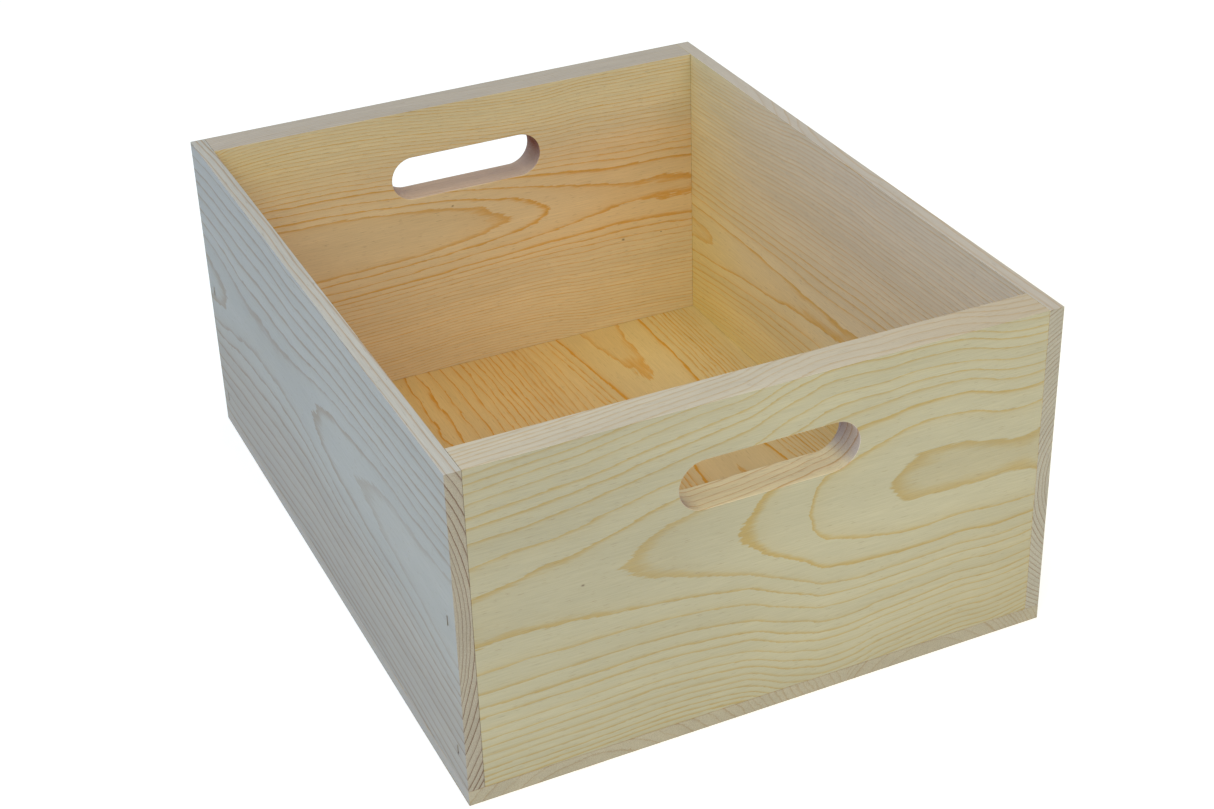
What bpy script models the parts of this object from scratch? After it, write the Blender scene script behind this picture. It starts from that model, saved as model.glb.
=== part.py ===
"""Open pine apple crate.

Two thick end boards, each with a hand hole, stand between two thin side boards. A thin bottom
panel lies under all four walls, and wire staples hold the boards together at every joint.

Metres, +Z up. X runs across the crate and Y along it. The origin is the centre of the underside.
"""

import math

import bmesh
import bpy
from mathutils import Matrix, Vector

# Overall size and stock thicknesses.
CRATE_LENGTH = 0.400
CRATE_WIDTH = 0.322
CRATE_HEIGHT = 0.186
END_THICKNESS = 0.020
SIDE_THICKNESS = 0.0084
BOTTOM_THICKNESS = 0.0084
FIT_GAP = 0.0003
ARRIS_WIDTH = 0.0005

# Hand hole: a slot with half-round ends, the same in both end boards.
HAND_HOLE_LENGTH = 0.096
HAND_HOLE_HEIGHT = 0.027
HAND_HOLE_CENTRE_Z = 0.1427
HALF_ROUND_STEPS = 20

# Narrow-crown wire staple.
STAPLE_CROWN = 0.0058
STAPLE_LEG = 0.025
WIRE_DEPTH = 0.0010
WIRE_WIDTH = 0.00125
STAPLE_SINK = 0.0008
CROWN_ROUNDING = 0.0007
CROWN_ROUND_STEPS = 3
CHISEL_DROP = 0.0015

# Where the staples go. Corner staples pass through a side board into an end board's end grain.
CORNER_STAPLE_HEIGHTS = {"front": (0.027, 0.102), "rear": (0.020, 0.093)}
BOTTOM_STAPLES_ACROSS = (-0.110, 0.0, 0.110)
BOTTOM_STAPLES_ALONG = (-0.130, 0.0, 0.130)

# Derived places.
WALL_BASE_Z = BOTTOM_THICKNESS + FIT_GAP
END_CENTRE_Y = (CRATE_LENGTH - END_THICKNESS) / 2
SIDE_CENTRE_X = (CRATE_WIDTH - SIDE_THICKNESS) / 2
END_HALF_WIDTH = CRATE_WIDTH / 2 - SIDE_THICKNESS - FIT_GAP
ENDS = {"front": -1, "rear": 1}
SIDES = {"left": -1, "right": 1}


def clear_scene():
    for old in list(bpy.data.objects):
        bpy.data.objects.remove(old, do_unlink=True)


def new_collection(name):
    collection = bpy.data.collections.new(name)
    bpy.context.scene.collection.children.link(collection)
    return collection


def new_material(name, colour, roughness, metallic=0.0):
    material = bpy.data.materials.new(name)
    material.use_nodes = True
    shader = material.node_tree.nodes["Principled BSDF"]
    shader.inputs["Base Color"].default_value = (*colour, 1.0)
    shader.inputs["Roughness"].default_value = roughness
    shader.inputs["Metallic"].default_value = metallic
    return material


def board(name, low, high, material, collection):
    """A planed board between two corners, with its sharp arrises just taken off."""
    size = Vector(high) - Vector(low)
    bm = bmesh.new()
    bmesh.ops.create_cube(bm, size=1.0, matrix=Matrix.Diagonal((*size, 1.0)))
    mesh = bpy.data.meshes.new(name)
    bm.to_mesh(mesh)
    bm.free()
    mesh.materials.append(material)
    piece = bpy.data.objects.new(name, mesh)
    piece.location = (Vector(low) + Vector(high)) / 2
    collection.objects.link(piece)
    arris = piece.modifiers.new("arris", "BEVEL")
    arris.width = ARRIS_WIDTH
    arris.segments = 2
    return piece


def flat_outline(name, points, thickness, collection):
    """A closed outline in the local XY plane, thickened evenly to both sides."""
    curve = bpy.data.curves.new(name, "CURVE")
    curve.dimensions = "2D"
    curve.fill_mode = "BOTH"
    curve.extrude = thickness / 2
    spline = curve.splines.new("POLY")
    spline.points.add(len(points) - 1)
    for point, (x, y) in zip(spline.points, points):
        point.co = (x, y, 0.0, 1.0)
    spline.use_cyclic_u = True
    piece = bpy.data.objects.new(name, curve)
    collection.objects.link(piece)
    return piece


def as_mesh(curve_piece, collection):
    """Turn an outline into a welded mesh object of the same name and place."""
    bpy.context.view_layer.update()
    evaluated = curve_piece.evaluated_get(bpy.context.evaluated_depsgraph_get())
    mesh = bpy.data.meshes.new_from_object(evaluated)
    bm = bmesh.new()
    bm.from_mesh(mesh)
    bmesh.ops.remove_doubles(bm, verts=bm.verts, dist=1e-6)
    bmesh.ops.recalc_face_normals(bm, faces=bm.faces)
    bm.to_mesh(mesh)
    bm.free()
    name = curve_piece.name
    place = curve_piece.matrix_world.copy()
    bpy.data.objects.remove(curve_piece, do_unlink=True)
    piece = bpy.data.objects.new(name, mesh)
    piece.matrix_world = place
    collection.objects.link(piece)
    return piece


def as_cutter(curve_piece, collection):
    cutter = as_mesh(curve_piece, collection)
    cutter.hide_render = True
    cutter.display_type = "WIRE"
    return cutter


def cut(piece, cutter):
    modifier = piece.modifiers.new(cutter.name, "BOOLEAN")
    modifier.operation = "DIFFERENCE"
    modifier.solver = "EXACT"
    modifier.object = cutter


def arc(centre, radius, start, end, steps):
    """Points along a circular arc, both ends included, angles in degrees."""
    points = []
    for step in range(steps + 1):
        angle = math.radians(start + (end - start) * step / steps)
        points.append((centre[0] + radius * math.cos(angle), centre[1] + radius * math.sin(angle)))
    return points


def hand_hole_outline():
    radius = HAND_HOLE_HEIGHT / 2
    reach = HAND_HOLE_LENGTH / 2 - radius
    right = arc((reach, 0.0), radius, -90, 90, HALF_ROUND_STEPS)
    left = arc((-reach, 0.0), radius, 90, 270, HALF_ROUND_STEPS)
    return right + left


def staple_outline():
    """A staple seen flat on: crown along X with its top at y = 0, legs running down -Y."""
    half = STAPLE_CROWN / 2
    inner = half - WIRE_DEPTH
    bend = half - CROWN_ROUNDING
    right_bend = arc((bend, -CROWN_ROUNDING), CROWN_ROUNDING, 0, 90, CROWN_ROUND_STEPS)
    left_bend = arc((-bend, -CROWN_ROUNDING), CROWN_ROUNDING, 90, 180, CROWN_ROUND_STEPS)
    left_leg = [(-half, CHISEL_DROP - STAPLE_LEG), (-inner, -STAPLE_LEG), (-inner, -WIRE_DEPTH)]
    right_leg = [(inner, -WIRE_DEPTH), (inner, -STAPLE_LEG), (half, CHISEL_DROP - STAPLE_LEG)]
    return right_bend + left_bend + left_leg + right_leg


def pocket_outline():
    """The space a staple needs: its outline with clearance, open out through the board's face."""
    half = STAPLE_CROWN / 2 + FIT_GAP
    inner = STAPLE_CROWN / 2 - WIRE_DEPTH - FIT_GAP
    mouth = 2 * STAPLE_SINK
    tip = -STAPLE_LEG - FIT_GAP
    under_crown = -WIRE_DEPTH - FIT_GAP
    left = [(-half, mouth), (-half, tip), (-inner, tip), (-inner, under_crown)]
    right = [(-x, y) for x, y in reversed(left)]
    return left + right


def staple_place(crown_centre, crown_along, driven_along):
    """World placement of a staple outline from the middle of its crown's top."""
    x_axis = Vector(crown_along)
    y_axis = -Vector(driven_along)
    z_axis = x_axis.cross(y_axis)
    turn = Matrix((x_axis, y_axis, z_axis)).transposed().to_4x4()
    return Matrix.Translation(crown_centre) @ turn


def staple(name, crown_centre, crown_along, driven_along, held_boards, kit):
    """One staple, with its pocket cut in each board it holds."""
    place = staple_place(crown_centre, crown_along, driven_along)
    wire = flat_outline(name, staple_outline(), WIRE_WIDTH, kit["parts"])
    wire.matrix_world = place
    wire.data.materials.append(kit["steel"])
    pocket_width = WIRE_WIDTH + 2 * FIT_GAP
    pocket = flat_outline(name + "_pocket", pocket_outline(), pocket_width, kit["cutters"])
    pocket.matrix_world = place
    pocket = as_cutter(pocket, kit["cutters"])
    for held in held_boards:
        cut(held, pocket)


def end_board(end, kit):
    """A thick board across the crate, with the hand hole near its top."""
    middle = ENDS[end] * END_CENTRE_Y
    low = (-END_HALF_WIDTH, middle - END_THICKNESS / 2, WALL_BASE_Z)
    high = (END_HALF_WIDTH, middle + END_THICKNESS / 2, CRATE_HEIGHT)
    piece = board("end_board_" + end, low, high, kit["pine"][end], kit["parts"])
    hole = flat_outline("hand_hole_" + end, hand_hole_outline(), 2 * END_THICKNESS, kit["cutters"])
    hole.location = (0.0, middle, HAND_HOLE_CENTRE_Z)
    hole.rotation_euler = (math.radians(90), 0.0, 0.0)
    cut(piece, as_cutter(hole, kit["cutters"]))
    return piece


def side_board(side, kit):
    """A thin board along the whole length, covering the ends of both end boards."""
    middle = SIDES[side] * SIDE_CENTRE_X
    low = (middle - SIDE_THICKNESS / 2, -CRATE_LENGTH / 2, WALL_BASE_Z)
    high = (middle + SIDE_THICKNESS / 2, CRATE_LENGTH / 2, CRATE_HEIGHT)
    return board("side_board_" + side, low, high, kit["pine"][side], kit["parts"])


def bottom_panel(kit):
    """The floor, as wide and as long as the crate, under all four walls."""
    low = (-CRATE_WIDTH / 2, -CRATE_LENGTH / 2, 0.0)
    high = (CRATE_WIDTH / 2, CRATE_LENGTH / 2, BOTTOM_THICKNESS)
    return board("bottom_panel", low, high, kit["pine"]["bottom"], kit["parts"])


def corner_staples(ends, sides, kit):
    for end, end_sign in ENDS.items():
        for side, side_sign in SIDES.items():
            held = (sides[side], ends[end])
            sunk_x = side_sign * (CRATE_WIDTH / 2 - STAPLE_SINK)
            for label, height in zip(("lower", "upper"), CORNER_STAPLE_HEIGHTS[end]):
                name = f"corner_staple_{end}_{side}_{label}"
                centre = (sunk_x, end_sign * END_CENTRE_Y, height)
                staple(name, centre, (0, 0, 1), (-side_sign, 0, 0), held, kit)


def bottom_staples(bottom, ends, sides, kit):
    for end, end_sign in ENDS.items():
        for number, x in enumerate(BOTTOM_STAPLES_ACROSS, start=1):
            centre = (x, end_sign * END_CENTRE_Y, STAPLE_SINK)
            name = f"bottom_staple_{end}_{number}"
            staple(name, centre, (1, 0, 0), (0, 0, 1), (bottom, ends[end]), kit)
    for side, side_sign in SIDES.items():
        for number, y in enumerate(BOTTOM_STAPLES_ALONG, start=1):
            centre = (side_sign * SIDE_CENTRE_X, y, STAPLE_SINK)
            name = f"bottom_staple_{side}_{number}"
            staple(name, centre, (0, 1, 0), (0, 0, 1), (bottom, sides[side]), kit)


def pine_materials():
    """Bare planed pine, each board a little different."""
    colours = {
        "front": (0.56, 0.50, 0.33),
        "rear": (0.52, 0.38, 0.20),
        "left": (0.42, 0.43, 0.42),
        "right": (0.47, 0.37, 0.22),
        "bottom": (0.52, 0.32, 0.12),
    }
    return {board_name: new_material("pine_" + board_name, colour, 0.62)
            for board_name, colour in colours.items()}


def build():
    clear_scene()
    kit = {
        "parts": new_collection("apple_crate"),
        "cutters": new_collection("cutters"),
        "pine": pine_materials(),
        "steel": new_material("staple_steel", (0.32, 0.31, 0.30), 0.45, 1.0),
    }
    ends = {end: end_board(end, kit) for end in ENDS}
    sides = {side: side_board(side, kit) for side in SIDES}
    bottom = bottom_panel(kit)
    corner_staples(ends, sides, kit)
    bottom_staples(bottom, ends, sides, kit)


build()
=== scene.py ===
from math import radians

import bpy
from mathutils import Matrix, Vector


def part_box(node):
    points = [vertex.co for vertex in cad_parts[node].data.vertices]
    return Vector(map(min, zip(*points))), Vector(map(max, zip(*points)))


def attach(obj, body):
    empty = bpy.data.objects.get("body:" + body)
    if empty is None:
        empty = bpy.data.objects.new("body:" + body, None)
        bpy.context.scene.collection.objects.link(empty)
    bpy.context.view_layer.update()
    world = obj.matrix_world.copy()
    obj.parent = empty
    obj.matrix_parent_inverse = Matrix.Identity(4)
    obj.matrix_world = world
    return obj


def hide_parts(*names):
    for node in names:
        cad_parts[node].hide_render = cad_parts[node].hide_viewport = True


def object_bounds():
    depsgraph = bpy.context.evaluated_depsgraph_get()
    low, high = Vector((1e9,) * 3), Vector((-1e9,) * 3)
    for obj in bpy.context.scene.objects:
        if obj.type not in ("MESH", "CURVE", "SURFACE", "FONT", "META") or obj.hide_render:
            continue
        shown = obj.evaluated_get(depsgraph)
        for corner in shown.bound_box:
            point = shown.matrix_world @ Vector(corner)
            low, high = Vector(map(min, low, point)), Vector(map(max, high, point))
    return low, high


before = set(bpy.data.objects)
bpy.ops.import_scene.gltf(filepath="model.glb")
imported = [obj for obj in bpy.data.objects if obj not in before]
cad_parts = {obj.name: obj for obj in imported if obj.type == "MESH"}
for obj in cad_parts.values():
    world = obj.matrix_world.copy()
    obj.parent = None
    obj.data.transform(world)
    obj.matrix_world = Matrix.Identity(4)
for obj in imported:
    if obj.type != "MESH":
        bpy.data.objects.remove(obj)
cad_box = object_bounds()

# Lengths are in metres, as in the CAD model. Grain patterns are worked out in millimetres.
MM = 0.001
JOINT_GAP = 0.05 * MM
ARRIS = 0.28 * MM
HOLE_RIM = 0.6 * MM
HAND_HOLE_LENGTH = 96 * MM
HAND_HOLE_HEIGHT = 27 * MM
HAND_HOLE_CENTRE_Z = 142.7 * MM
WIRE_DEPTH = 1.0 * MM
WIRE_WIDTH = 1.25 * MM
STAPLE_CROWN = 5.8 * MM
STAPLE_LEG = 25 * MM
STAPLE_SINK = 0.8 * MM
STAPLE_BEND = 1.5 * WIRE_DEPTH
STAPLE_POINT = 1.5 * MM
POINT_SLANT = 0.7 * WIRE_DEPTH
WIRE_ROUNDING = 0.22 * MM
POCKET_ROOM = 0.12 * MM
CUTTER_REACH = 30 * MM
RIM_ROOM = 0.1 * MM
RELIEF_DEPTH = 0.12 * MM
END_BOARD_HALF = 10 * MM

# Two spots nearer than this are in one place, and doubles are merged within the finer distance.
TOUCHING = 1e-5
DOUBLE = 1e-6

OUTER_LOW = cad_box[0]
FRONT_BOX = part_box("end_board_front")
REAR_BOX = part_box("end_board_rear")
LEFT_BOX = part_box("side_board_left")
RIGHT_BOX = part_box("side_board_right")
BOTTOM_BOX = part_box("bottom_panel")


# ---------------------------------------------------------------- picking things up by hand

def pick_up(piece):
    """Make one piece the only selected one, and the active one."""
    bpy.ops.object.select_all(action="DESELECT")
    piece.select_set(True)
    bpy.context.view_layer.objects.active = piece


def settle(piece):
    """Put the piece's place, turn and size into its mesh."""
    pick_up(piece)
    bpy.ops.object.transform_apply(location=True, rotation=True, scale=True)


def name_piece(name):
    piece = bpy.context.active_object
    piece.name = name
    piece.data.name = name
    return piece


def choose_faces(piece, wanted):
    """Enter edit mode with only the faces whose centre and normal are wanted."""
    pick_up(piece)
    bpy.ops.object.mode_set(mode="EDIT")
    bpy.ops.mesh.select_mode(type="FACE")
    bpy.ops.mesh.select_all(action="DESELECT")
    bpy.ops.object.mode_set(mode="OBJECT")
    for face in piece.data.polygons:
        face.select = wanted(face.center, face.normal)
    bpy.ops.object.mode_set(mode="EDIT")


def choose_edges(piece, wanted):
    """Enter edit mode with only the edges whose two ends are wanted."""
    pick_up(piece)
    bpy.ops.object.mode_set(mode="EDIT")
    bpy.ops.mesh.select_mode(type="EDGE")
    bpy.ops.mesh.select_all(action="DESELECT")
    bpy.ops.object.mode_set(mode="OBJECT")
    spots = piece.data.vertices
    for edge in piece.data.edges:
        edge.select = wanted(spots[edge.vertices[0]].co, spots[edge.vertices[1]].co)
    bpy.ops.object.mode_set(mode="EDIT")


def put_down():
    bpy.ops.object.mode_set(mode="OBJECT")


def apply_modifier(piece, kind, **settings):
    pick_up(piece)
    modifier = piece.modifiers.new(kind.lower(), kind)
    for setting, value in settings.items():
        setattr(modifier, setting, value)
    bpy.ops.object.modifier_apply(modifier=modifier.name)


def block(name, low, high):
    """A squared blank between two corners."""
    low = Vector(low)
    high = Vector(high)
    bpy.ops.object.select_all(action="DESELECT")
    bpy.ops.mesh.primitive_cube_add(size=1.0, location=(low + high) / 2, scale=high - low)
    piece = name_piece(name)
    settle(piece)
    return piece


def cut_out(piece, cutter):
    apply_modifier(piece, "BOOLEAN", operation="DIFFERENCE", solver="EXACT", object=cutter)
    bpy.data.objects.remove(cutter, do_unlink=True)


def smooth_curves(piece):
    """Shade the rounded edges smooth and leave the flat faces flat."""
    pick_up(piece)
    bpy.ops.object.shade_smooth_by_angle(angle=radians(40))
    apply_modifier(piece, "WEIGHTED_NORMAL", keep_sharp=True)


# ---------------------------------------------------------------- staples

def bent_staple():
    """One wire staple: crown along X with its top at the origin, legs running down -Z.

    Known fault: with no window, spin turns both bends inwards, so the legs don't follow and only
    the middle of the crown is made. Angles of the other sign make the whole staple.
    """
    half = STAPLE_CROWN / 2
    straight = half - STAPLE_BEND
    leg = STAPLE_LEG - STAPLE_BEND - STAPLE_POINT
    blank_low = (-straight, -WIRE_WIDTH / 2, -WIRE_DEPTH)
    blank_high = (straight, WIRE_WIDTH / 2, 0)
    wire = block("staple_pattern", blank_low, blank_high)

    def on_outer_tip(spot):
        return spot.z < -STAPLE_LEG + TOUCHING and abs(spot.x) > half - TOUCHING

    for side in (1, -1):
        tip = side * straight
        choose_faces(wire, lambda centre, normal: abs(centre.x - tip) < TOUCHING
                     and abs(normal.x) > 0.9)
        bpy.ops.mesh.spin(steps=5, angle=side * radians(90), center=(tip, 0, -STAPLE_BEND),
                          axis=(0, 1, 0))
        put_down()
        choose_faces(wire, lambda centre, normal: abs(centre.z + STAPLE_BEND) < TOUCHING
                     and normal.z < -0.95)
        bpy.ops.mesh.extrude_region_move(TRANSFORM_OT_translate={"value": (0, 0, -leg)})
        bpy.ops.mesh.extrude_region_move(TRANSFORM_OT_translate={"value": (0, 0, -STAPLE_POINT)})
        put_down()
        choose_edges(wire, lambda a, b: on_outer_tip(a) and on_outer_tip(b))
        bpy.ops.transform.translate(value=(-side * POINT_SLANT, 0, 0))
        put_down()
    choose_faces(wire, lambda centre, normal: True)
    bpy.ops.mesh.remove_doubles(threshold=DOUBLE)
    bpy.ops.mesh.normals_make_consistent(inside=False)
    put_down()
    apply_modifier(wire, "BEVEL", width=WIRE_ROUNDING, segments=2, limit_method="ANGLE",
                   angle_limit=radians(50))
    smooth_curves(wire)
    return wire


def pocket_for(place):
    """The slot that a driven staple opens in the wood."""
    half = STAPLE_CROWN / 2 + POCKET_ROOM
    low = (-half, -WIRE_WIDTH / 2 - POCKET_ROOM, -STAPLE_LEG - POCKET_ROOM)
    high = (half, WIRE_WIDTH / 2 + POCKET_ROOM, 2 * STAPLE_SINK)
    pocket = block("pocket", low, high)
    inner = STAPLE_CROWN / 2 - WIRE_DEPTH - POCKET_ROOM
    web_low = (-inner, -CUTTER_REACH, -STAPLE_LEG - CUTTER_REACH)
    web = block("web", web_low, (inner, CUTTER_REACH, -WIRE_DEPTH - POCKET_ROOM))
    cut_out(pocket, web)
    pocket.data.transform(place)
    return pocket


def staple_places():
    """Where each staple goes: its CAD node, and the turn and place that drive it there."""
    places = {}
    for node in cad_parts:
        if "staple" not in node:
            continue
        low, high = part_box(node)
        middle = (low + high) / 2
        if node.startswith("bottom"):
            crown = Vector((middle.x, middle.y, low.z))
            driven = Vector((0, 0, 1))
            along = Vector((1, 0, 0)) if high.x - low.x > high.y - low.y else Vector((0, 1, 0))
        else:
            side = 1 if middle.x > 0 else -1
            crown = Vector((high.x if side > 0 else low.x, middle.y, middle.z))
            driven = Vector((-side, 0, 0))
            along = Vector((0, 0, 1))
        across = (-driven).cross(along)
        turn = Matrix((along, across, -driven)).transposed().to_4x4()
        places[node] = Matrix.Translation(crown) @ turn
    return places


def drive_staples(pattern, steel):
    """Copy the staple to each of its places, every copy with its own mesh."""
    for node, place in staple_places().items():
        staple = pattern.copy()
        staple.data = pattern.data.copy()
        staple.name = "wire_" + node
        staple.data.name = staple.name
        bpy.context.scene.collection.objects.link(staple)
        staple.data.transform(place)
        staple.data.materials.clear()
        staple.data.materials.append(steel)
        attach(staple, "root")
        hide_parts(node)
    bpy.data.objects.remove(pattern, do_unlink=True)


# ---------------------------------------------------------------- boards

def plank(name, low, high):
    """A planed board with its sharp arrises just taken off."""
    piece = block(name, low, high)
    choose_edges(piece, lambda a, b: True)
    bpy.ops.mesh.bevel(offset=ARRIS, offset_type="OFFSET", segments=2, affect="EDGES")
    put_down()
    return piece


def rout_hand_hole(piece, middle_y):
    """Cut the slot with half-round ends, then ease its two rims."""
    half = Vector((HAND_HOLE_LENGTH / 2, CUTTER_REACH, HAND_HOLE_HEIGHT / 2))
    centre = Vector((0, middle_y, HAND_HOLE_CENTRE_Z))
    cutter = block("hand_hole_cutter", centre - half, centre + half)
    choose_edges(cutter, lambda a, b: abs(a.x - b.x) < DOUBLE and abs(a.z - b.z) < DOUBLE)
    bpy.ops.mesh.bevel(offset=HAND_HOLE_HEIGHT / 2, offset_type="OFFSET", segments=16,
                       affect="EDGES", clamp_overlap=False)
    bpy.ops.mesh.select_all(action="SELECT")
    bpy.ops.mesh.remove_doubles(threshold=TOUCHING)
    bpy.ops.mesh.normals_make_consistent(inside=False)
    put_down()
    cut_out(piece, cutter)

    def on_rim(spot):
        beside = abs(spot.x) < half.x + RIM_ROOM and abs(spot.z - centre.z) < half.z + RIM_ROOM
        return beside and abs(abs(spot.y - middle_y) - END_BOARD_HALF) < 2 * RIM_ROOM

    choose_edges(piece, lambda a, b: on_rim(a) and on_rim(b) and abs(a.y - b.y) < DOUBLE)
    bpy.ops.mesh.bevel(offset=HOLE_RIM, offset_type="OFFSET", segments=3, affect="EDGES")
    put_down()


def cut_pockets(piece, keep):
    """Open the staple slots in a board, for the staples whose names are kept."""
    for node, place in staple_places().items():
        if keep(node):
            cut_out(piece, pocket_for(place))


def finish_board(piece, node, pine):
    choose_faces(piece, lambda centre, normal: True)
    bpy.ops.mesh.remove_doubles(threshold=DOUBLE)
    put_down()
    smooth_curves(piece)
    piece.data.materials.clear()
    piece.data.materials.append(pine)
    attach(piece, "root")
    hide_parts(node)


def end_plank(end, box, pine):
    low, high = box
    side_reach = LEFT_BOX[1].x + JOINT_GAP
    bottom = BOTTOM_BOX[1].z + JOINT_GAP
    piece = plank("board_" + end, (side_reach, low.y, bottom), (-side_reach, high.y, high.z))
    rout_hand_hole(piece, (low.y + high.y) / 2)
    cut_pockets(piece, lambda node: "_" + end + "_" in node)
    finish_board(piece, "end_board_" + end, pine)


def side_plank(side, box, pine):
    low, high = box
    bottom = BOTTOM_BOX[1].z + JOINT_GAP
    piece = plank("board_" + side, (low.x, low.y, bottom), (high.x, high.y, high.z))
    cut_pockets(piece, lambda node: side in node.split("_"))
    finish_board(piece, "side_board_" + side, pine)


def bottom_plank(pine):
    low, high = BOTTOM_BOX
    piece = plank("board_bottom", low, high)
    cut_pockets(piece, lambda node: node.startswith("bottom_staple"))
    finish_board(piece, "bottom_panel", pine)


# ---------------------------------------------------------------- wiring up shader nodes

def feed(tree, socket, source):
    """Give a socket either a set value or what another node puts out."""
    if isinstance(source, bpy.types.NodeSocket):
        tree.links.new(source, socket)
    else:
        socket.default_value = source


def maths(tree, operation, *sources):
    node = tree.nodes.new("ShaderNodeMath")
    node.operation = operation
    for socket, source in zip(node.inputs, sources):
        feed(tree, socket, source)
    return node.outputs["Value"]


def ramp(tree, source, from_low, from_high, to_low=0.0, to_high=1.0, smooth=True):
    node = tree.nodes.new("ShaderNodeMapRange")
    node.interpolation_type = "SMOOTHSTEP" if smooth else "LINEAR"
    node.clamp = True
    limits = (source, from_low, from_high, to_low, to_high)
    for name, value in zip(("Value", "From Min", "From Max", "To Min", "To Max"), limits):
        feed(tree, node.inputs[name], value)
    return node.outputs["Result"]


def blend_colour(tree, share, first, second, way="MIX"):
    node = tree.nodes.new("ShaderNodeMix")
    node.data_type = "RGBA"
    node.blend_type = way
    feed(tree, node.inputs[0], share)
    feed(tree, node.inputs[6], first)
    feed(tree, node.inputs[7], second)
    return node.outputs[2]


def stretched(tree, point, along, across, depth):
    """A board point measured in steps of the given lengths, in millimetres."""
    node = tree.nodes.new("ShaderNodeMapping")
    node.vector_type = "POINT"
    node.inputs["Scale"].default_value = (1 / along, 1 / across, 1 / depth)
    feed(tree, node.inputs["Vector"], point)
    return node.outputs["Vector"]


def noise(tree, point, seed, detail=2.0, roughness=0.5):
    shift = tree.nodes.new("ShaderNodeVectorMath")
    shift.operation = "ADD"
    feed(tree, shift.inputs[0], point)
    feed(tree, shift.inputs[1], seed)
    node = tree.nodes.new("ShaderNodeTexNoise")
    node.noise_dimensions = "3D"
    feed(tree, node.inputs["Vector"], shift.outputs["Vector"])
    node.inputs["Scale"].default_value = 1.0
    node.inputs["Detail"].default_value = detail
    node.inputs["Roughness"].default_value = roughness
    return node.outputs["Fac"]


def new_group(name, inputs, outputs):
    group = bpy.data.node_groups.new(name, "ShaderNodeTree")
    kinds = {"float": "NodeSocketFloat", "vector": "NodeSocketVector", "colour": "NodeSocketColor"}
    for label, kind in inputs.items():
        group.interface.new_socket(label, in_out="INPUT", socket_type=kinds[kind])
    for label, kind in outputs.items():
        group.interface.new_socket(label, in_out="OUTPUT", socket_type=kinds[kind])
    start = group.nodes.new("NodeGroupInput")
    end = group.nodes.new("NodeGroupOutput")
    return group, start.outputs, end.inputs


def place_group(tree, group, **sources):
    node = tree.nodes.new("ShaderNodeGroup")
    node.node_tree = group
    for label, source in sources.items():
        feed(tree, node.inputs[label.replace("_", " ")], source)
    return node.outputs


def curve_through(tree, source, points):
    """A smooth curve through given points, held level past its two ends."""
    first, last = points[0][0], points[-1][0]
    low = min(value for place, value in points)
    high = max(value for place, value in points)
    high = max(high, low + 0.001)
    node = tree.nodes.new("ShaderNodeFloatCurve")
    feed(tree, node.inputs["Value"], ramp(tree, source, first, last, smooth=False))
    line = node.mapping.curves[0]
    shares = [((place - first) / (last - first), (value - low) / (high - low))
              for place, value in points]
    line.points[0].location = shares[0]
    line.points[-1].location = shares[-1]
    for share in shares[1:-1]:
        line.points.new(*share)
    for point in line.points:
        point.handle_type = "AUTO_CLAMPED"
    node.mapping.update()
    return ramp(tree, node.outputs["Value"], 0.0, 1.0, low, high, smooth=False)


# ---------------------------------------------------------------- shared wood effects

# Shares of one year's growth, and how far years differ from each other.
LATEST_START = 0.45
SPRING_EDGE = 0.975
PALEST_YEAR = 0.6
SUMMER_START = 0.35
SUMMER_DEPTH = 0.14

# How far each pattern darkens and lightens the wood.
CLOUD_TONE = (0.955, 1.035)
YEAR_TONE = (0.975, 1.02)
STREAK_TONE = (0.905, 1.075)
PORE_TONE = (0.80, 1.08)
CANAL_SHARE = 0.35
CANAL_BROWN = (0.20, 0.11, 0.045, 1.0)
# Painted shade in the hand hole's cut ends that face away from the light.
HOLE_SHADE_BROWN = (0.215, 0.05, 0.012, 1.0)
STAIN_BROWN = (0.10, 0.055, 0.03, 1.0)

PLANED_ROUGHNESS = 0.66
LATE_POLISH = 0.14
END_ROUGHNESS = 0.18


def ring_radius_group():
    """Distance from the heart of the log, wavered as a living tree grows."""
    group, given, made = new_group(
        "Ring radius",
        {"Point": "vector", "Across": "float", "From Heart": "float", "Waver": "float",
         "Ripple": "float", "Jag": "float", "Seed": "float"},
        {"Radius": "float"})
    across = maths(group, "MULTIPLY", given["Across"], given["Across"])
    depth = maths(group, "MULTIPLY", given["From Heart"], given["From Heart"])
    radius = maths(group, "SQRT", maths(group, "ADD", across, depth))
    slow = noise(group, stretched(group, given["Point"], 70, 22, 22), given["Seed"], 1.0)
    slow = maths(group, "MULTIPLY", maths(group, "SUBTRACT", slow, 0.5), given["Waver"])
    fast = noise(group, stretched(group, given["Point"], 14, 1.3, 1.3), given["Seed"], 3.0, 0.65)
    fast = maths(group, "MULTIPLY", maths(group, "SUBTRACT", fast, 0.5), given["Jag"])
    middling = noise(group, stretched(group, given["Point"], 24, 7, 7), given["Seed"], 1.0)
    middling = maths(group, "MULTIPLY", maths(group, "SUBTRACT", middling, 0.5), given["Ripple"])
    slow = maths(group, "ADD", slow, middling)
    radius = maths(group, "ADD", radius, maths(group, "ADD", slow, fast))
    group.links.new(radius, made["Radius"])
    return group


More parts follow.
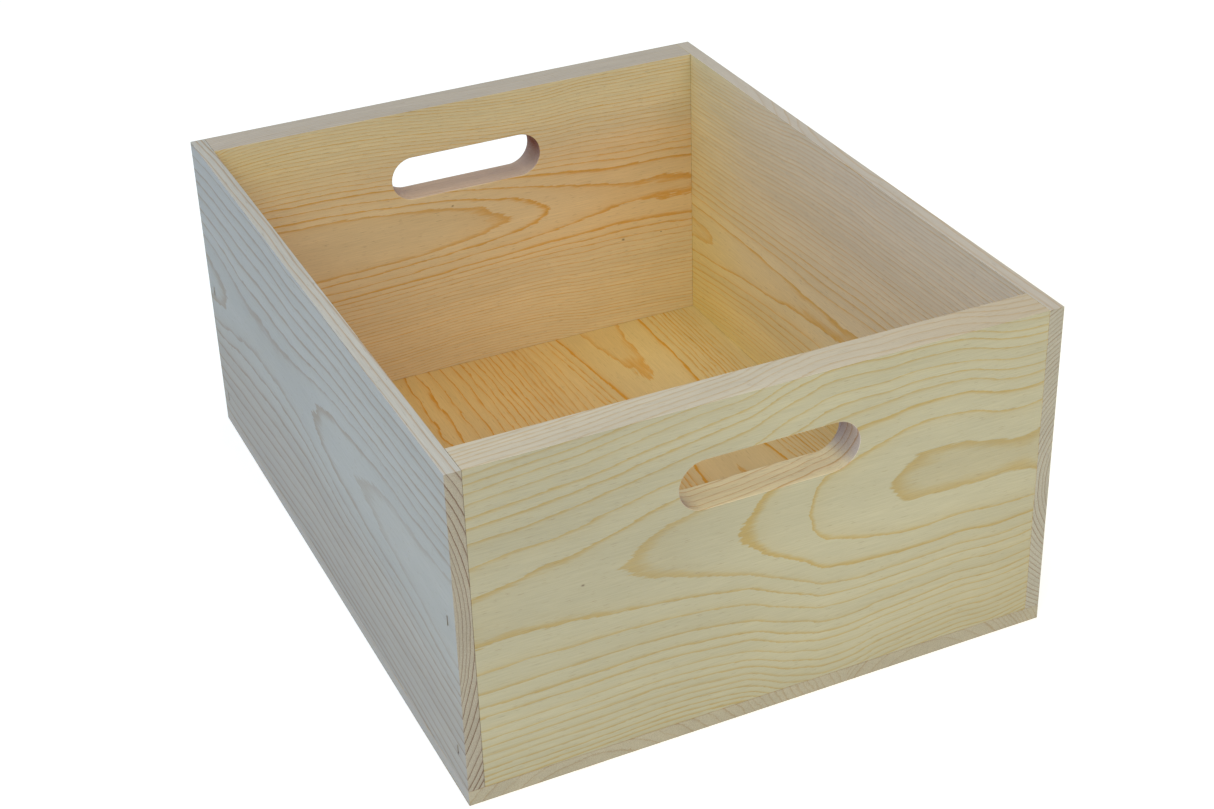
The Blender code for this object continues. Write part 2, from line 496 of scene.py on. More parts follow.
def year_rings_group():
    """Latewood of each year: it deepens over its own thickness and stops short at next spring.

    Years is the ring count at a point. Years Ahead is the count one latewood thickness outward.
    """
    group, given, made = new_group(
        "Year rings",
        {"Years": "float", "Years Ahead": "float", "Strength": "float", "Seed": "float"},
        {"Latewood": "float", "Year Tone": "float"})
    year = maths(group, "FLOOR", given["Years"])
    chance = group.nodes.new("ShaderNodeTexWhiteNoise")
    chance.noise_dimensions = "2D"
    pair = group.nodes.new("ShaderNodeCombineXYZ")
    feed(group, pair.inputs["X"], year)
    feed(group, pair.inputs["Y"], given["Seed"])
    feed(group, chance.inputs["Vector"], pair.outputs["Vector"])
    luck = group.nodes.new("ShaderNodeSeparateColor")
    feed(group, luck.inputs["Color"], chance.outputs["Color"])
    past_edge = maths(group, "SUBTRACT", maths(group, "SUBTRACT", given["Years Ahead"], year), 1.0)
    span = maths(group, "SUBTRACT", given["Years Ahead"], given["Years"])
    span = maths(group, "MAXIMUM", span, 0.001)
    near = maths(group, "DIVIDE", past_edge, span)
    start = ramp(group, luck.outputs["Red"], 0.0, 1.0, 0.0, LATEST_START, smooth=False)
    rise = ramp(group, near, start, 1.0)
    part = maths(group, "FRACT", given["Years"])
    stop = ramp(group, part, SPRING_EDGE, 1.0, 1.0, 0.0)
    depth = ramp(group, luck.outputs["Green"], 0.0, 1.0, PALEST_YEAR, 1.0, smooth=False)
    late = maths(group, "MULTIPLY", maths(group, "MULTIPLY", rise, stop), depth)
    summer = maths(group, "MULTIPLY", ramp(group, part, SUMMER_START, 1.0), SUMMER_DEPTH)
    late = maths(group, "MAXIMUM", late, maths(group, "MULTIPLY", summer, stop))
    late = maths(group, "MINIMUM", maths(group, "MULTIPLY", late, given["Strength"]), 1.0)
    group.links.new(late, made["Latewood"])
    group.links.new(luck.outputs["Blue"], made["Year Tone"])
    return group


def fibre_group():
    """Fine streaks along the grain, slow cloudy tone, and the short dashes of resin canals."""
    group, given, made = new_group(
        "Fibre",
        {"Point": "vector", "Seed": "float"},
        {"Streak": "float", "Cloud": "float", "Canal": "float", "End Pore": "float"})
    streak = noise(group, stretched(group, given["Point"], 22, 0.6, 0.6), given["Seed"], 4.0, 0.7)
    cloud = noise(group, stretched(group, given["Point"], 160, 26, 26), given["Seed"], 2.0)
    dash = noise(group, stretched(group, given["Point"], 6.0, 0.42, 0.42), given["Seed"], 0.0)
    pore = noise(group, stretched(group, given["Point"], 3.0, 0.28, 0.28), given["Seed"], 2.0, 0.7)
    group.links.new(streak, made["Streak"])
    group.links.new(cloud, made["Cloud"])
    group.links.new(ramp(group, dash, 0.745, 0.80), made["Canal"])
    group.links.new(pore, made["End Pore"])
    return group


def facing_group():
    """Which way each bit of surface looks: along the grain, out of the face, or into the crate."""
    group, given, made = new_group(
        "Facing",
        {"Normal": "vector", "Grain Way": "vector", "Inward Way": "vector"},
        {"End": "float", "Face": "float", "Inside": "float", "Edge": "float"})

    def lean(way):
        node = group.nodes.new("ShaderNodeVectorMath")
        node.operation = "DOT_PRODUCT"
        feed(group, node.inputs[0], given["Normal"])
        feed(group, node.inputs[1], way)
        return node.outputs["Value"]

    end = ramp(group, maths(group, "ABSOLUTE", lean(given["Grain Way"])), 0.35, 0.95)
    inward = lean(given["Inward Way"])
    face = ramp(group, maths(group, "ABSOLUTE", inward), 0.6, 0.95)
    inside = ramp(group, inward, 0.6, 0.95)
    group.links.new(end, made["End"])
    group.links.new(face, made["Face"])
    group.links.new(inside, made["Inside"])
    edge = maths(group, "SUBTRACT", 1.0, maths(group, "MAXIMUM", end, face))
    group.links.new(edge, made["Edge"])
    return group


def stain_group():
    """A brown halo where a staple was driven, feathered along the grain."""
    group, given, made = new_group(
        "Staple stain",
        {"Point": "vector", "Staple": "vector", "Reach": "float", "Seed": "float"},
        {"Stain": "float"})
    away = group.nodes.new("ShaderNodeVectorMath")
    away.operation = "SUBTRACT"
    feed(group, away.inputs[0], given["Point"])
    feed(group, away.inputs[1], given["Staple"])
    thin = stretched(group, away.outputs["Vector"], 1.6, 1.0, 1.0)
    length = group.nodes.new("ShaderNodeVectorMath")
    length.operation = "LENGTH"
    feed(group, length.inputs[0], thin)
    ragged = noise(group, stretched(group, given["Point"], 3.0, 0.7, 0.7), given["Seed"], 2.0)
    reach = maths(group, "MULTIPLY", given["Reach"], maths(group, "ADD", ragged, 0.5))
    stain = ramp(group, length.outputs["Value"], 0.0, reach, 1.0, 0.0)
    group.links.new(stain, made["Stain"])
    return group


def pine_tone_group():
    """Turns the masks into the pine's colour, with its painted light and painted shade, roughness
    and relief.
    """
    group, given, made = new_group(
        "Pine tone",
        {"Early": "colour", "Late": "colour", "Latewood": "float", "Year Tone": "float",
         "Streak": "float", "Cloud": "float", "Canal": "float", "End Pore": "float",
         "End": "float", "Stain": "float", "Scorch": "float", "Tint": "colour"},
        {"Colour": "colour", "Roughness": "float", "Relief": "float"})
    shade = ramp(group, given["Cloud"], 0.25, 0.75, *CLOUD_TONE)
    year = ramp(group, given["Year Tone"], 0.0, 1.0, *YEAR_TONE, smooth=False)
    streak = ramp(group, given["Streak"], 0.25, 0.75, *STREAK_TONE)
    speckle = maths(group, "SUBTRACT", ramp(group, given["End Pore"], 0.3, 0.7, *PORE_TONE), 1.0)
    speckle = maths(group, "ADD", maths(group, "MULTIPLY", speckle, given["End"]), 1.0)
    level = maths(group, "MULTIPLY", maths(group, "MULTIPLY", shade, year),
                  maths(group, "MULTIPLY", streak, speckle))
    colour = blend_colour(group, given["Latewood"], given["Early"], given["Late"])
    canal = maths(group, "MULTIPLY", given["Canal"], CANAL_SHARE)
    colour = blend_colour(group, canal, colour, CANAL_BROWN)
    # Painted shade in the hand hole's cut.
    colour = blend_colour(group, given["Scorch"], colour, HOLE_SHADE_BROWN)
    colour = blend_colour(group, given["Stain"], colour, STAIN_BROWN)
    grey = group.nodes.new("ShaderNodeCombineColor")
    for channel in ("Red", "Green", "Blue"):
        feed(group, grey.inputs[channel], level)
    colour = blend_colour(group, 1.0, colour, grey.outputs["Color"], "MULTIPLY")
    # Painted light and shade, as slow tints over each kind of surface.
    colour = blend_colour(group, 1.0, colour, given["Tint"], "MULTIPLY")
    polish = maths(group, "MULTIPLY", given["Latewood"], LATE_POLISH)
    rough = maths(group, "SUBTRACT", PLANED_ROUGHNESS, polish)
    rough = maths(group, "ADD", rough, maths(group, "MULTIPLY", given["End"], END_ROUGHNESS))
    rough = maths(group, "ADD", rough, ramp(group, given["Streak"], 0.2, 0.8, -0.05, 0.05))
    relief = maths(group, "MULTIPLY", given["Latewood"], 0.35)
    relief = maths(group, "ADD", relief, maths(group, "MULTIPLY", given["Streak"], 0.5))
    relief = maths(group, "SUBTRACT", relief, maths(group, "MULTIPLY", given["Canal"], 0.3))
    pores = maths(group, "MULTIPLY", given["End Pore"], given["End"])
    relief = maths(group, "ADD", relief, maths(group, "MULTIPLY", pores, 1.2))
    group.links.new(colour, made["Colour"])
    group.links.new(rough, made["Roughness"])
    group.links.new(relief, made["Relief"])
    return group


def wood_effects():
    return {"radius": ring_radius_group(), "years": year_rings_group(), "fibre": fibre_group(),
            "facing": facing_group(), "stain": stain_group(), "tone": pine_tone_group()}


# ---------------------------------------------------------------- the five boards' own grain

# Axes names the crate's axes that run along the grain, across the board and through it. Depth from
# is where the depth through the board starts: the outside of the front and left boards, and the
# inside of the others. Inward is the way into the crate.
#
# Each log is described along the board, in millimetres. Height and behind say where its heart
# lies: how far up the board, and how far behind the face. Spread says how far the rings are drawn
# out across the board, and rings gives the radius at which each year ends. Late and depth give the
# latewood's thickness and its darkness by radius. Waver, ripple and jag bend the rings in long,
# middling and short waves. The bottom is glued up from two logs, and its seam says where across
# the board they meet.
#
# Drifts are painted light and shade: slow changes of brightness and hue over one kind of surface,
# following where more light falls on it and where less does. Flecks are small specks, each with its
# place along and up the board and its size. The dark brown spots in the hand hole's cut are painted
# shade, where its ends face away from the light, each spot with its place, its size and its share.
# The inside colours are painted light: lighter and warmer than the same board's outside, for the
# warm light and bounce inside the crate.
# The routed colours are painted light: lighter than the sawn edge and end grain, so the hand hole's
# cut faces read bright in spite of their shade.
GRAIN = {
    "front": {
        "axes": "xzy", "depth_from": -200.0, "inward": (0, 1, 0), "seed": 3.0,
        "logs": [{
            "heart_side": 1, "waver": 2.0, "ripple": 0.8, "jag": 1.1,
            "late": ((26, 2.4), (52, 2.0), (60, 1.6), (104, 1.3)),
            "depth": ((26, 1.5), (53, 1.5), (58, 1.15), (104, 1.15)),
            "height": ((-161, 104), (-100, 107), (-16, 111.5), (40, 110.5), (99, 112.6),
                       (139, 108), (161, 110.5)),
            "behind": ((-161, 58), (-90, 56), (-20, 51.5), (0, 48.6), (20, 45), (30, 42.2),
                       (44, 40.6), (66, 37.8), (80, 36.3), (99, 35.9), (139, 36.5), (161, 35)),
            "spread": ((-161, 1.17), (-16, 1.19), (23, 1.29), (65, 1.2), (134, 1.1), (161, 1.05)),
            "rings": (26, 37.8, 44.7, 51, 55.5, 59, 63, 68, 72, 75, 79, 82.5, 85.5, 88.5, 91,
                      93.5, 96, 98, 100, 102, 104),
        }],
        "flecks": ((-98, 107, 0.9),),
        "outside": (0.458, 0.419, 0.276), "inside": (0.72, 0.56, 0.33),
        "edge": (0.605, 0.53, 0.435), "end": (0.44, 0.38, 0.30),
        "routed": (0.77, 0.66, 0.45), "routed_end": (0.56, 0.48, 0.44),
        "late_face": (0.93, 0.75, 0.42),
        "scorch": ((48.0, 152.0, 14.0, 16.0, 0.3), (-46.0, 131.0, 2.5, 9.0, 0.3)),
        "drifts": (
            {"on": "Face", "along": ((-161, 1), (-60, 0.7), (0, 0)),
             "across": ((0, 0.3), (60, 0.5), (110, 1)), "tint": (0.90, 0.90, 0.93)},
            {"on": "Face", "along": ((60, 0), (161, 1)),
             "across": ((8, 1), (60, 0.6), (110, 0)), "tint": (0.98, 0.95, 0.89)},
            {"on": "Edge", "along": ((0, 0), (110, 1)),
             "across": ((165, 0), (180, 1)), "tint": (0.97, 0.92, 0.86)},
        ),
    },
    "left": {
        "axes": "yzx", "depth_from": -161.0, "inward": (1, 0, 0), "seed": 8.0,
        "logs": [{
            "heart_side": 1, "waver": 1.0, "ripple": 0.5, "jag": 0.6,
            "late": ((136, 0.6), (141.8, 0.8), (143, 0.5), (144.4, 0.6), (148, 1.0),
                     (153, 1.1), (160, 1.4), (177, 1.6)),
            "depth": ((136, 0.7), (141.8, 0.9), (143, 1.2), (147.6, 1.4), (150.4, 1.1),
                      (153, 1.4), (160, 1.4), (177, 1.8)),
            "height": ((-200, 106), (-75, 108.5), (12, 108.5), (125, 104.5), (200, 100)),
            "behind": ((-200, 138), (-138, 139), (-38, 140.5), (70, 142.9), (200, 140.9)),
            "spread": ((-200, 1.03), (-75, 1.01), (12, 1.03), (100, 1.08), (200, 1.03)),
            "rings": (136.5, 140, 141.8, 143.6, 145.3, 147.6, 150.4, 153.4, 156.4, 159.8, 163.4,
                      166.8, 169.4, 172, 174.6, 177),
        }],
        "outside": (0.378, 0.364, 0.280), "inside": (0.72, 0.56, 0.33),
        "edge": (0.54, 0.51, 0.48), "end": (0.40, 0.355, 0.275),
        "late_face": (0.68, 0.56, 0.44), "late_edge": (0.80, 0.62, 0.46),
        "late_end": (0.42, 0.27, 0.20),
        "drifts": (
            {"on": "Face", "along": ((-200, 1), (200, 1)),
             "across": ((8, 1), (50, 0.85), (105, 0), (186, 0)), "tint": (0.94, 0.88, 0.84)},
        ),
    },
    "rear": {
        "axes": "xzy", "depth_from": 180.0, "inward": (0, -1, 0), "seed": 13.0,
        "logs": [{
            "heart_side": 1, "waver": 0.9, "ripple": 0.7, "jag": 0.65,
            "late": ((50, 0.7), (60, 0.7), (62.3, 1.0), (64, 0.65), (120, 0.7)),
            "depth": ((50, 1.3), (60, 1.4), (62.3, 1.9), (63.5, 1.2), (66, 1.0), (120, 1.0)),
            "height": ((-161, 107.5), (-28, 105.7), (22, 103.5), (85, 101.3), (161, 98)),
            "behind": ((-161, 53.7), (-28, 55.4), (22, 57), (85, 59.3), (110, 59.75), (161, 59.7)),
            "spread": ((-161, 1.02), (-90, 1.14), (22, 1.06), (85, 1.14), (161, 1.17)),
            "rings": (50, 57, 58.2, 60.1, 62.3) + tuple(62.3 + 1.45 * n for n in range(1, 40)),
        }],
        "flecks": ((103, 69, 1.1), (130, 68.5, 0.6), (-11, 119, 0.8)),
        "outside": (0.485, 0.450, 0.300), "inside": (0.775, 0.625, 0.405),
        "edge": (0.525, 0.46, 0.41), "end": (0.42, 0.36, 0.28),
        "routed": (0.68, 0.53, 0.44), "routed_end": (0.56, 0.42, 0.35),
        "scorch": ((47.5, 157.0, 10.0, 26.0, 1.8),),
        "late_face": (0.90, 0.66, 0.30),
        "drifts": (
            {"on": "Inside", "along": ((0, 0), (152, 1)),
             "across": ((8, 1), (60, 0.7), (130, 0)), "tint": (1.12, 1.14, 1.18)},
            {"on": "Inside", "along": ((-20, 0), (100, 1)),
             "across": ((60, 0), (95, 1), (120, 1), (150, 0)), "tint": (1.05, 0.96, 0.84)},
            {"on": "Inside", "along": ((-152, 1), (152, 1)),
             "across": ((140, 0), (172, 1)), "tint": (0.99, 1.07, 1.04)},
        ),
    },
    "right": {
        "axes": "yzx", "depth_from": 152.6, "inward": (-1, 0, 0), "seed": 21.0,
        "logs": [{
            "heart_side": -1, "waver": 1.2, "ripple": 0.5, "jag": 0.5,
            "late": ((45, 0.9), (160, 0.8)),
            "depth": ((45, 1.3), (62, 1.2), (72, 1.0), (160, 1.0)),
            "height": ((-200, 85), (-45, 81.5), (5, 77.5), (68, 75), (130, 71), (200, 65)),
            "behind": ((-200, 59.5), (-45, 58), (68, 57), (130, 56), (200, 54.7)),
            "spread": ((-200, 0.96), (-45, 0.98), (5, 1.02), (68, 0.98), (130, 0.95), (200, 0.97)),
            "rings": (45, 47.2, 49.4, 51.6, 53.8, 55.6, 58, 60.5) + tuple(60.5 + 2.3 * n
                                                                       for n in range(1, 32)),
        }],
        "outside": (0.485, 0.450, 0.300), "inside": (0.85, 0.715, 0.445),
        "edge": (0.58, 0.505, 0.445), "end": (0.46, 0.42, 0.325),
        "late_face": (0.91, 0.69, 0.33),
        "drifts": (
            {"on": "Inside", "along": ((-20, 0), (100, 0.4), (140, 0.8), (185, 1)),
             "across": ((0, 1), (186, 1)), "tint": (1.05, 1.03, 0.74)},
        ),
    },
    "bottom": {
        "axes": "yxz", "depth_from": 8.4, "inward": (0, 0, 1), "seed": 34.0, "seam": 45.0,
        "logs": [{
            "heart_side": -1, "waver": 2.6, "ripple": 3.0, "jag": 1.8,
            "late": ((46, 1.6), (159, 1.5)),
            "depth": ((46, 1.2), (159, 1.2)),
            "height": ((-200, -98), (90, -98), (200, -96)),
            "behind": ((-200, 60), (0, 64), (200, 62)),
            "spread": ((-200, 1.0), (90, 1.02), (200, 0.98)),
            "rings": (46, 52, 58, 64, 70.5, 76.8, 82.3, 88, 94.4, 100, 104.5, 108, 111.6, 115,
                      118.4, 121.4, 125.5, 129, 132, 134.6, 137, 140.5, 145.5, 149.5, 155, 159),
        }, {
            "heart_side": -1, "waver": 1.4, "ripple": 1.6, "jag": 1.5,
            "late": ((34, 1.4), (50, 1.4), (52.5, 2.0), (56, 1.3), (78, 1.3)),
            "depth": ((34, 1.0), (46, 1.0), (50.5, 1.6), (52.5, 1.9), (56, 1.2), (78, 1.3)),
            "height": ((-200, 92), (-12, 88), (90, 86), (200, 82)),
            "behind": ((-200, 38), (-60, 43), (-12, 45), (50, 46.8), (112, 45), (180, 42.4),
                       (200, 41.5)),
            "spread": ((-200, 1.0), (0, 1.0), (200, 1.0)),
            "rings": (34, 38, 45, 52.5, 55.8, 58, 60, 62, 64, 66, 68, 70.2, 72.5, 75, 78),
        }],
        "outside": (0.50, 0.45, 0.32), "inside": (0.64, 0.43, 0.188),
        "edge": (0.395, 0.352, 0.26), "end": (0.452, 0.40, 0.287),
        "late_face": (0.91, 0.59, 0.13), "late_end": (0.86, 0.78, 0.68),
        "drifts": (
            {"on": "Inside", "along": ((-200, 1), (-100, 0.85), (60, 0.45), (160, 0)),
             "across": ((-161, 1), (161, 1)), "tint": (0.84, 0.88, 1.34)},
            {"on": "Inside", "along": ((-200, 1), (200, 1)),
             "across": ((20, 0), (150, 1)), "tint": (1.09, 1.25, 1.42)},
        ),
    },
}

# Sawn edges and end grain show their latewood browner than a planed face does.
LATE_ON_EDGE = (0.90, 0.77, 0.60)
LATE_ON_END = (0.50, 0.34, 0.26)
LATE_IN_HOLE = (0.80, 0.60, 0.42)
SURFACES = ("outside", "inside", "edge", "end", "routed", "routed_end")

# The rest is in millimetres, as the grain is. The hand hole's colours, painted light and painted
# shade, fade out between these distances from its middle, along the board and up it.
HOLE_ENDS = (49.0, 51.0)
HOLE_SIDES = (14.2, 16.0)

SIDE_BOARD_DEPTH = 8.4
STAPLE_HALO_REACH = 5.0
STAPLE_HALO_SHARE = 0.12
FLECK_SHARE = 0.8
SECOND_LOG_YEARS = 40.0


def board_point(tree, grain):
    """The point on the board in millimetres: along the grain, across the face, into the depth."""
    where = tree.nodes.new("ShaderNodeTexCoord")
    scale = tree.nodes.new("ShaderNodeMapping")
    scale.inputs["Scale"].default_value = (1 / MM, 1 / MM, 1 / MM)
    feed(tree, scale.inputs["Vector"], where.outputs["Object"])
    split = tree.nodes.new("ShaderNodeSeparateXYZ")
    feed(tree, split.inputs["Vector"], scale.outputs["Vector"])
    along, across, depth = (split.outputs[axis.upper()] for axis in grain["axes"])
    depth = maths(tree, "SUBTRACT", depth, grain["depth_from"])
    if grain["axes"] == "yxz":
        depth = maths(tree, "MULTIPLY", depth, -1.0)
    joined = tree.nodes.new("ShaderNodeCombineXYZ")
    feed(tree, joined.inputs["X"], along)
    feed(tree, joined.inputs["Y"], across)
    feed(tree, joined.inputs["Z"], depth)
    return joined.outputs["Vector"], along, across, depth


def count_years(tree, log, seed, point, along, across, depth, effects):
    """A point's ring count in its log, and the count one latewood thickness further out."""
    height = curve_through(tree, along, log["height"])
    behind = curve_through(tree, along, log["behind"])
    spread = curve_through(tree, along, log["spread"])
    off_heart = maths(tree, "DIVIDE", maths(tree, "SUBTRACT", across, height), spread)
    inset = maths(tree, "MULTIPLY", depth, float(log["heart_side"]))
    from_heart = maths(tree, "ADD", behind, inset)
    radius = place_group(tree, effects["radius"], Point=point, Across=off_heart,
                         From_Heart=from_heart, Waver=log["waver"], Ripple=log["ripple"],
                         Jag=log["jag"], Seed=seed)["Radius"]
    rings = tuple((ring, year) for year, ring in enumerate(log["rings"], start=1))
    further = maths(tree, "ADD", radius, curve_through(tree, radius, log["late"]))
    return (curve_through(tree, radius, rings), curve_through(tree, further, rings),
            curve_through(tree, radius, log["depth"]))


def mix_values(tree, share, first, second):
    node = tree.nodes.new("ShaderNodeMix")
    node.data_type = "FLOAT"
    feed(tree, node.inputs[0], share)
    feed(tree, node.inputs[2], first)
    feed(tree, node.inputs[3], second)
    return node.outputs[0]


def surface_colours(grain, late):
    """One colour for each kind of surface, of the earlywood or of the latewood."""
    shifts = {"outside": grain["late_face"], "inside": grain["late_face"],
              "edge": grain.get("late_edge", LATE_ON_EDGE),
              "end": grain.get("late_end", LATE_ON_END),
              "routed": LATE_IN_HOLE, "routed_end": LATE_IN_HOLE}
    colours = {}
    for kind in SURFACES:
        tone = grain.get(kind, grain["end" if kind.endswith("end") else "edge"])
        shift = shifts[kind] if late else (1.0, 1.0, 1.0)
        colours[kind] = (*(part * share for part, share in zip(tone, shift)), 1.0)
    return colours


def surface_tone(tree, facing, in_hole, colours):
    """Pick the colour of the planed face, the inside, the sawn edge, the end grain or the hole. The
    inside and hole colours are painted light.
    """
    # Painted light: the hole's cut is lighter than the sawn edge and end grain, against the hole's
    # shade.
    edge = blend_colour(tree, in_hole, colours["edge"], colours["routed"])
    end = blend_colour(tree, in_hole, colours["end"], colours["routed_end"])
    tone = blend_colour(tree, facing["Face"], edge, colours["outside"])
    # Painted light: the inside is a lighter, warmer copy of the outside.
    tone = blend_colour(tree, facing["Inside"], tone, colours["inside"])
    return blend_colour(tree, facing["End"], tone, end)


def near_hand_hole(tree, along, across):
    """1 within a millimetre or so of the hand hole's outline, 0 further out."""
    beside = ramp(tree, maths(tree, "ABSOLUTE", along), *HOLE_ENDS, 1.0, 0.0)
    rise = maths(tree, "ABSOLUTE", maths(tree, "SUBTRACT", across, HAND_HOLE_CENTRE_Z / MM))
    return maths(tree, "MULTIPLY", beside, ramp(tree, rise, *HOLE_SIDES, 1.0, 0.0))


def pine(board, effects, stains=()):
    """Pine for one board, with painted light and shade, its rings cut from one log so faces, edges
    and ends agree.
    """
    grain = GRAIN[board]
    seed = grain["seed"]
    material = bpy.data.materials.new("Pine of the " + board + " board")
    material.use_nodes = True
    tree = material.node_tree
    shader = tree.nodes["Principled BSDF"]
    point, along, across, depth = board_point(tree, grain)
    counts = [count_years(tree, log, seed, point, along, across, depth, effects)
              for log in grain["logs"]]
    years, ahead, strength = counts[0]
    if "seam" in grain:
        past_seam = maths(tree, "GREATER_THAN", across, grain["seam"])
        other_years, other_ahead, other_strength = counts[1]
        other_years = maths(tree, "ADD", other_years, SECOND_LOG_YEARS)
        other_ahead = maths(tree, "ADD", other_ahead, SECOND_LOG_YEARS)
        years = mix_values(tree, past_seam, years, other_years)
        ahead = mix_values(tree, past_seam, ahead, other_ahead)
        strength = mix_values(tree, past_seam, strength, other_strength)
    ring = place_group(tree, effects["years"], Years=years, Years_Ahead=ahead, Strength=strength,
                       Seed=seed)
    fibre = place_group(tree, effects["fibre"], Point=point, Seed=seed)
    surface = tree.nodes.new("ShaderNodeNewGeometry")
    grain_way = (1, 0, 0) if grain["axes"][0] == "x" else (0, 1, 0)
    facing = place_group(tree, effects["facing"], Normal=surface.outputs["Normal"],
                         Grain_Way=grain_way, Inward_Way=grain["inward"])
    in_hole = near_hand_hole(tree, along, across) if "routed" in grain else 0.0
    early = surface_tone(tree, facing, in_hole, surface_colours(grain, late=False))
    late = surface_tone(tree, facing, in_hole, surface_colours(grain, late=True))
    stain = 0.0
    for number, spot in enumerate(stains):
        halo = place_group(tree, effects["stain"], Point=point, Staple=spot,
                           Reach=STAPLE_HALO_REACH, Seed=float(number))["Stain"]
        stain = maths(tree, "MAXIMUM", stain, maths(tree, "MULTIPLY", halo, STAPLE_HALO_SHARE))
    for along_at, across_at, size in grain.get("flecks", ()):
        mark = place_group(tree, effects["stain"], Point=point, Staple=(along_at, across_at, 0.0),
                           Reach=size, Seed=along_at)["Stain"]
        stain = maths(tree, "MAXIMUM", stain, maths(tree, "MULTIPLY", mark, FLECK_SHARE))
    # Painted light and shade: slow tints laid over each kind of surface.
    tint = (1.0, 1.0, 1.0, 1.0)
    for drift in grain["drifts"]:
        share = maths(tree, "MULTIPLY", curve_through(tree, along, drift["along"]),
                      curve_through(tree, across, drift["across"]))
        share = maths(tree, "MULTIPLY", share, facing[drift["on"]])
        tint = blend_colour(tree, share, tint, (*drift["tint"], 1.0), "MULTIPLY")
    # Painted shade: dark brown in the hand hole's cut ends that face away from the light.
    scorch = 0.0
    for *spot, size, share in grain.get("scorch", ()):
        shade_spot = place_group(tree, effects["stain"], Point=point, Staple=tuple(spot), Reach=size,
                           Seed=2.0)["Stain"]
        scorch = maths(tree, "MAXIMUM", scorch, maths(tree, "MULTIPLY", shade_spot, share))
    in_cut = maths(tree, "MULTIPLY", in_hole, maths(tree, "SUBTRACT", 1.0, facing["Face"]))
    scorch = maths(tree, "MULTIPLY", scorch, in_cut)
    finish = place_group(tree, effects["tone"], Early=early, Late=late, Tint=tint,
                         Latewood=ring["Latewood"], Year_Tone=ring["Year Tone"],
                         Streak=fibre["Streak"], Cloud=fibre["Cloud"], Canal=fibre["Canal"],
                         End_Pore=fibre["End Pore"], End=facing["End"], Stain=stain,
                         Scorch=scorch)
    bump = tree.nodes.new("ShaderNodeBump")
    bump.inputs["Distance"].default_value = RELIEF_DEPTH
    bump.inputs["Strength"].default_value = 0.6
    feed(tree, bump.inputs["Height"], finish["Relief"])
    feed(tree, shader.inputs["Base Color"], finish["Colour"])
    feed(tree, shader.inputs["Roughness"], finish["Roughness"])
    feed(tree, shader.inputs["Normal"], bump.outputs["Normal"])
    shader.inputs["Specular IOR Level"].default_value = 0.3
    return material


def staple_steel():
    """Galvanised wire, dull, with brown bloom in patches."""
    material = bpy.data.materials.new("Staple wire")
    material.use_nodes = True
    tree = material.node_tree
    shader = tree.nodes["Principled BSDF"]
    where = tree.nodes.new("ShaderNodeTexCoord")
    scale = tree.nodes.new("ShaderNodeMapping")
    scale.inputs["Scale"].default_value = (1 / MM, 1 / MM, 1 / MM)
    feed(tree, scale.inputs["Vector"], where.outputs["Object"])
    bloom = noise(tree, stretched(tree, scale.outputs["Vector"], 2.2, 2.2, 2.2), (5, 5, 5), 3.0)
    rust = ramp(tree, bloom, 0.52, 0.70)
    drawn = noise(tree, stretched(tree, scale.outputs["Vector"], 0.3, 0.3, 0.3), (2, 2, 2))
    colour = blend_colour(tree, rust, (0.74, 0.73, 0.70, 1), (0.32, 0.22, 0.15, 1))
    feed(tree, shader.inputs["Base Color"], colour)
    feed(tree, shader.inputs["Metallic"], ramp(tree, rust, 0.0, 1.0, 0.5, 0.15))
    feed(tree, shader.inputs["Roughness"], ramp(tree, drawn, 0.3, 0.7, 0.38, 0.62))
    bump = tree.nodes.new("ShaderNodeBump")
    bump.inputs["Distance"].default_value = 0.04 * MM
    feed(tree, bump.inputs["Height"], drawn)
    feed(tree, shader.inputs["Normal"], bump.outputs["Normal"])
    return material


# ---------------------------------------------------------------- studio

CRATE_MIDDLE = (0, 0, 0.1)


def studio_floor():
    bpy.ops.object.select_all(action="DESELECT")
    bpy.ops.mesh.primitive_plane_add(size=14.0, location=(0, 0, OUTER_LOW.z - 0.3 * MM))
    floor = name_piece("studio_floor")
    settle(floor)
    material = bpy.data.materials.new("Pale floor")
    material.use_nodes = True
    tree = material.node_tree
    shader = tree.nodes["Principled BSDF"]
    shader.inputs["Base Color"].default_value = (0.93, 0.93, 0.93, 1)
    shader.inputs["Roughness"].default_value = 0.9
    shader.inputs["Specular IOR Level"].default_value = 0.1
    shader.inputs["Emission Color"].default_value = (1, 1, 1, 1)
    shader.inputs["Emission Strength"].default_value = 0.45
    floor.data.materials.append(material)


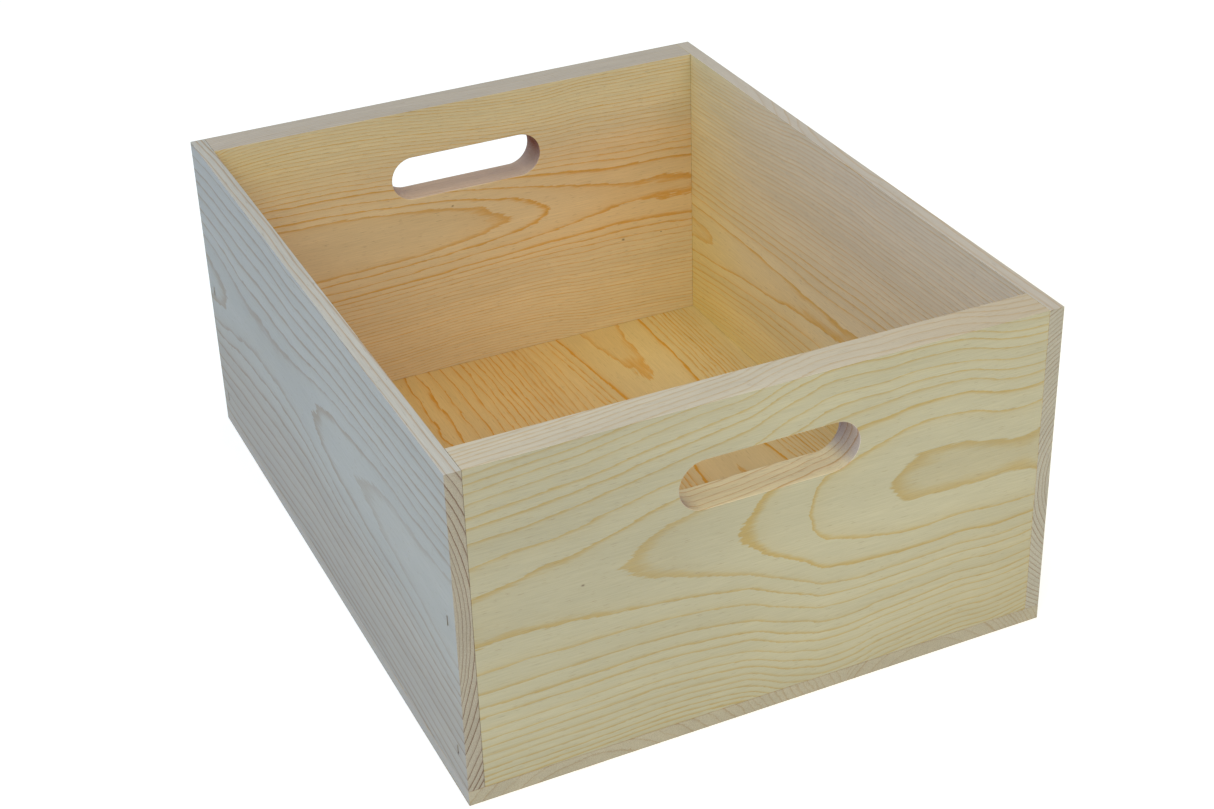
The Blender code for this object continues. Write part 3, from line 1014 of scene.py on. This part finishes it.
def softbox(name, place, aim, size, power, colour):
    light = bpy.data.lights.new(name, "AREA")
    light.shape = "SQUARE"
    light.size = size
    light.energy = power
    light.color = colour
    lamp = bpy.data.objects.new(name, light)
    lamp.location = place
    lamp.rotation_euler = (Vector(aim) - Vector(place)).to_track_quat("-Z", "Y").to_euler()
    bpy.context.scene.collection.objects.link(lamp)


def studio_light():
    softbox("camera_side_softbox", (-1.05, -1.32, 1.6), CRATE_MIDDLE, 1.2, 14.5, (1.0, 1.0, 0.72))
    softbox("front_softbox", (0.8, -1.9, 1.5), CRATE_MIDDLE, 1.2, 11, (1.0, 0.80, 0.78))
    softbox("overhead", (0.0, 0.0, 2.3), CRATE_MIDDLE, 1.6, 17, (1.0, 0.96, 0.62))
    softbox("left_window", (-2.4, 0.0, 0.8), CRATE_MIDDLE, 1.2, 24, (0.02, 0.20, 1.0))
    world = bpy.data.worlds.new("Studio")
    world.use_nodes = True
    sky = world.node_tree.nodes["Background"]
    sky.inputs["Color"].default_value = (0.72, 0.87, 1.0, 1)
    sky.inputs["Strength"].default_value = 0.385
    bpy.context.scene.world = world


def studio_camera():
    view = bpy.data.cameras.new("camera")
    view.lens = 63.16
    view.sensor_width = 36
    view.shift_x = -0.0086
    view.shift_y = -0.0266
    view.clip_start = 0.01
    view.clip_end = 50
    camera = bpy.data.objects.new("camera", view)
    camera.location = (-0.4111, -0.9313, 0.6791)
    camera.rotation_euler = (radians(59.947), radians(1.516), radians(-25.405))
    bpy.context.scene.collection.objects.link(camera)
    bpy.context.scene.camera = camera
    bpy.context.scene.view_settings.view_transform = "Standard"


def side_stains():
    """Where the corner staples sit on a side board, along it, up it and into it, in millimetres."""
    spots = []
    for node, place in staple_places().items():
        crown = place.translation / MM
        if node.startswith("corner") and crown.x < 0:
            spots.append((crown.y, crown.z, 0.0))
    return spots


def build():
    effects = wood_effects()
    end_plank("front", FRONT_BOX, pine("front", effects))
    end_plank("rear", REAR_BOX, pine("rear", effects))
    stains = side_stains()
    side_plank("left", LEFT_BOX, pine("left", effects, stains))
    outside_right = [(along, up, SIDE_BOARD_DEPTH) for along, up, depth in stains]
    side_plank("right", RIGHT_BOX, pine("right", effects, outside_right))
    bottom_plank(pine("bottom", effects))
    drive_staples(bent_staple(), staple_steel())


studio_camera()
studio_floor()
studio_light()
build()
